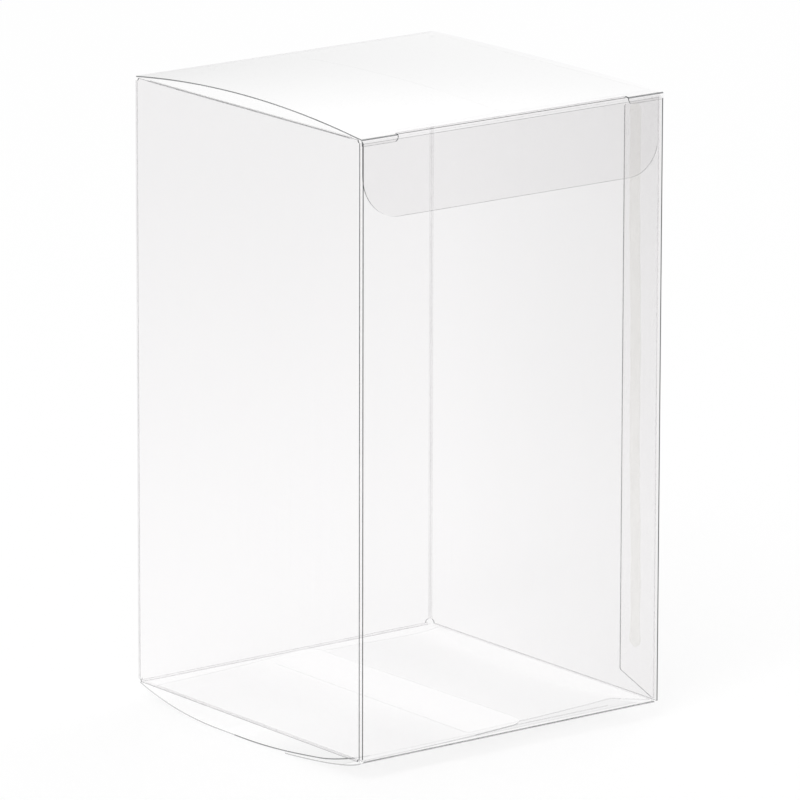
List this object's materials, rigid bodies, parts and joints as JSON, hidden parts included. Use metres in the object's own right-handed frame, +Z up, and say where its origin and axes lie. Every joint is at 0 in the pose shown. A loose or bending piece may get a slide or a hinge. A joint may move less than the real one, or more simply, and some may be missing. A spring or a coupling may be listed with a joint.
{
  "type": "clear folding gift box",
  "caption": "Tall square clear plastic gift box folded from a scored sheet, with a tuck-in lid with slit-lock lips, inner side flaps and a folding bottom.",
  "frame": {"origin": "bottom centre of the box, on the surface that it stands on", "axes": "+Z up along the walls; the front wall, which takes the tuck flap on its inside, faces -Y; the lid folds on the back wall at +Y; the glued seam is on the right wall at +X"},
  "size_m": [0.09, 0.0904, 0.1581],
  "materials": {
    "clear_sheet": "clear thin plastic sheet, glossy, nearly colourless",
    "folded_sheet": "scored and folded clear sheet, slightly stress-whitened and glossy",
    "dried_glue": "thin band of clear adhesive, faintly warm and uneven"
  },
  "bodies": {
    "tube": {"front_wall": "clear_sheet", "back_wall": "clear_sheet", "left_wall": "clear_sheet", "right_wall": "clear_sheet", "back_right_crease": "folded_sheet", "back_left_crease": "folded_sheet", "front_left_crease": "folded_sheet", "front_right_crease": "folded_sheet", "glue_flap": "clear_sheet", "adhesive_strip": "dried_glue", "lid_crease": "folded_sheet", "top_left_flap_crease": "folded_sheet", "top_right_flap_crease": "folded_sheet", "bottom_left_flap_crease": "folded_sheet", "bottom_right_flap_crease": "folded_sheet", "bottom_lock_flap_crease": "folded_sheet", "bottom_panel_crease": "folded_sheet"},
    "lid": {"top_lid": "clear_sheet", "tuck_crease": "folded_sheet"},
    "tuck": {"tuck_flap": "clear_sheet"},
    "top_left": {"top_left_flap": "clear_sheet"},
    "top_right": {"top_right_flap": "clear_sheet"},
    "bottom_left": {"bottom_left_flap": "clear_sheet"},
    "bottom_right": {"bottom_right_flap": "clear_sheet"},
    "lock": {"bottom_lock_flap": "clear_sheet"},
    "bottom": {"bottom_panel": "clear_sheet"}
  },
  "joints": [
    {"name": "lid_hinge", "type": "hinge", "parent": "tube", "child": "lid", "pos_m": [0, 0.04485, 0.1552], "axis": [-1, 0, 0], "range_deg": [0, 180]},
    {"name": "tuck_hinge", "type": "hinge", "parent": "lid", "child": "tuck", "pos_m": [0, -0.04425, 0.1552], "axis": [1, 0, 0], "range_deg": [0, 60]},
    {"name": "top_left_flap_hinge", "type": "hinge", "parent": "tube", "child": "top_left", "pos_m": [-0.0444, 0, 0.15475], "axis": [0, 1, 0], "range_deg": [0, 75]},
    {"name": "top_right_flap_hinge", "type": "hinge", "parent": "tube", "child": "top_right", "pos_m": [0.0444, 0, 0.15475], "axis": [0, -1, 0], "range_deg": [0, 75]},
    {"name": "bottom_right_flap_hinge", "type": "hinge", "parent": "tube", "child": "bottom_right", "pos_m": [0.0444, 0, 0.00505], "axis": [0, 1, 0], "range_deg": [0, 54]},
    {"name": "bottom_left_flap_hinge", "type": "hinge", "parent": "tube", "child": "bottom_left", "pos_m": [-0.0444, 0, 0.00505], "axis": [0, -1, 0], "range_deg": [0, 86.4]},
    {"name": "lock_flap_hinge", "type": "hinge", "parent": "tube", "child": "lock", "pos_m": [0, -0.04485, 0.0046], "axis": [-1, 0, 0], "range_deg": [0, 150]},
    {"name": "bottom_panel_hinge", "type": "hinge", "parent": "tube", "child": "bottom", "pos_m": [0, 0.04485, 0.0046], "axis": [1, 0, 0], "range_deg": [0, 15]}
  ],
  "couplings": [
    {"joint": "bottom_left_flap_hinge", "follows": "bottom_right_flap_hinge", "ratio": 1.6},
    {"joint": "bottom_panel_hinge", "follows": "lock_flap_hinge", "ratio": 0.09}
  ]
}
